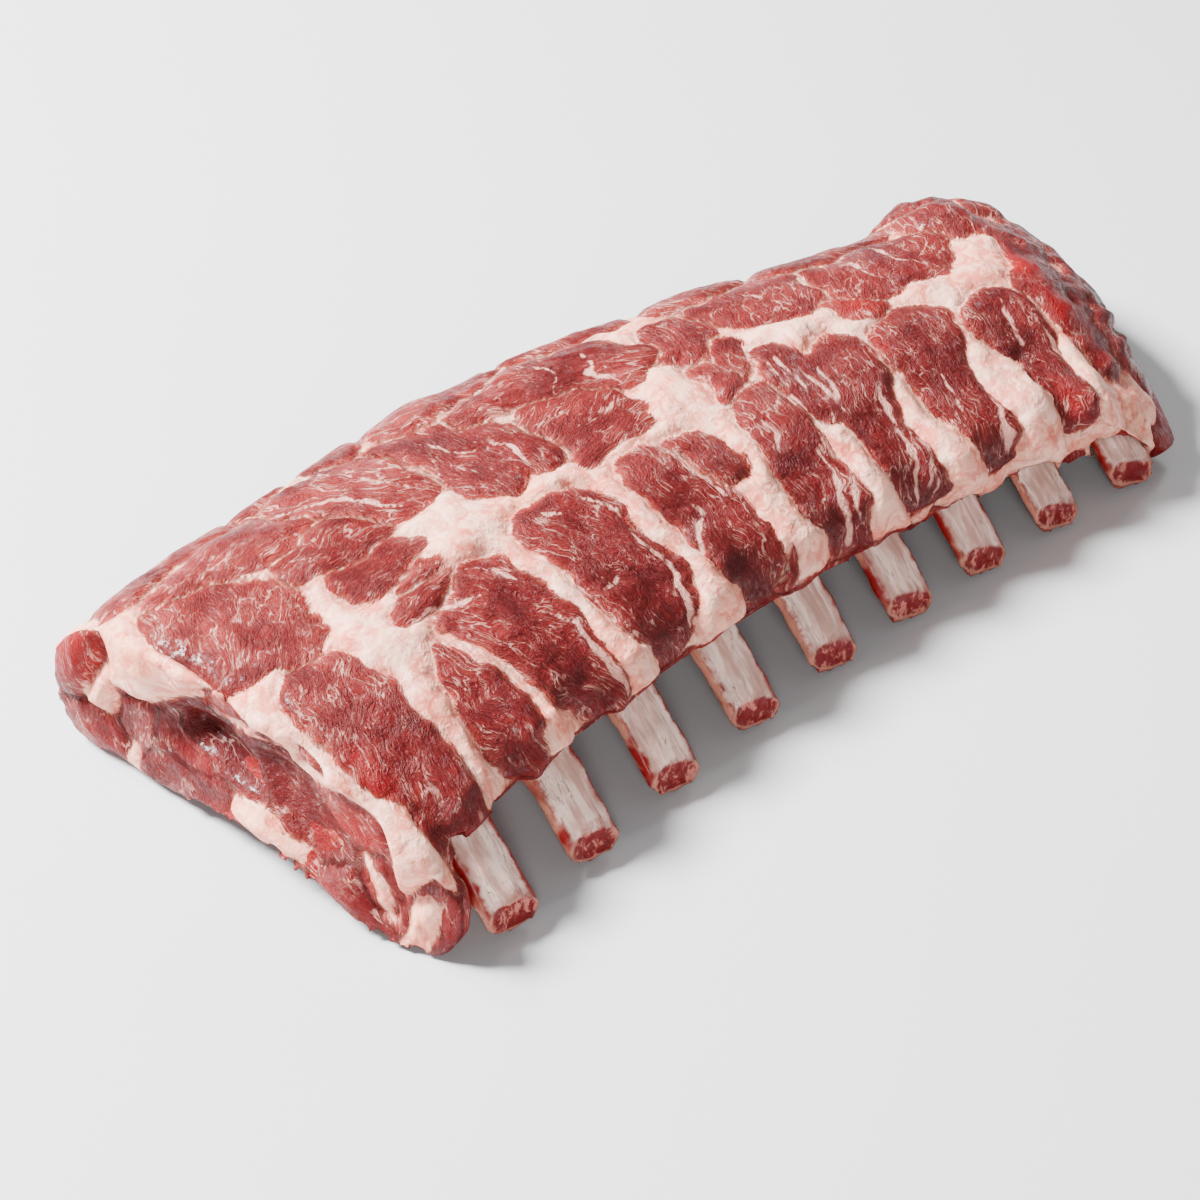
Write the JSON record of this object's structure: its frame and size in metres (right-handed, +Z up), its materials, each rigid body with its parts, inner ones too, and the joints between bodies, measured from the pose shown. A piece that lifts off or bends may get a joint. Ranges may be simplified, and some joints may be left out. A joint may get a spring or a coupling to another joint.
{
  "type": "raw rack of ribs",
  "caption": "Raw rack of ribs, bone side down: an arched slab of marbled meat with trimmed rib ends standing out along one long side.",
  "frame": {"origin": "under the middle of the rack, on the surface it lies on", "axes": "+X along the rack, across the ribs, towards its narrow end; +Y from the sawn rib ends to the back edge; +Z up"},
  "size_m": [0.3494, 0.146, 0.0589],
  "materials": {
    "raw_meat": "raw muscle with cream fat seams, damp sheen",
    "rib_bone": "scraped bone with red sinew edges"
  },
  "bodies": {
    "root": {"meat": "raw_meat", "rib_1": "rib_bone", "rib_2": "rib_bone", "rib_3": "rib_bone", "rib_4": "rib_bone", "rib_5": "rib_bone", "rib_6": "rib_bone", "rib_7": "rib_bone", "rib_8": "rib_bone", "rib_9": "rib_bone"}
  },
  "joints": []
}
